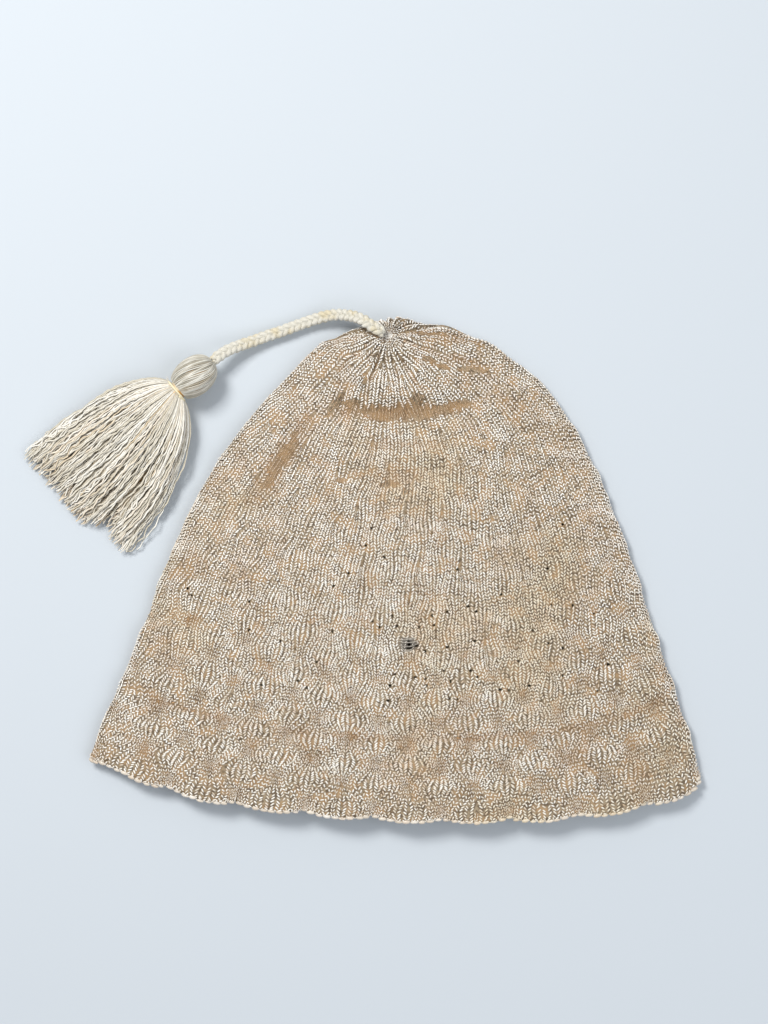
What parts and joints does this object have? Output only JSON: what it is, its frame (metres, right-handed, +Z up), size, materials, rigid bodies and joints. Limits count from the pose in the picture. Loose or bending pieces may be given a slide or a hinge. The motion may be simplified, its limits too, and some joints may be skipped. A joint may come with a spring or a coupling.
{
  "type": "nightcap",
  "caption": "Knitted silk nightcap lying flat, gathered at the crown, with a scalloped turned-up hem, a braided cord and a tassel.",
  "frame": {"origin": "centre of the cap's outline seen from above, on the surface that it lies on", "axes": "+X across the hem to the right, +Y from the hem towards the crown, +Z up from the surface"},
  "size_m": [0.3083, 0.2332, 0.019],
  "materials": {
    "knit_silk": "satin",
    "braid_silk": "satin",
    "tassel_silk": "satin",
    "binding_thread": "matte"
  },
  "bodies": {
    "root": {"cap_body": "knit_silk", "braided_cord": "braid_silk", "tassel": "tassel_silk", "neck_binding": "binding_thread"}
  },
  "joints": []
}
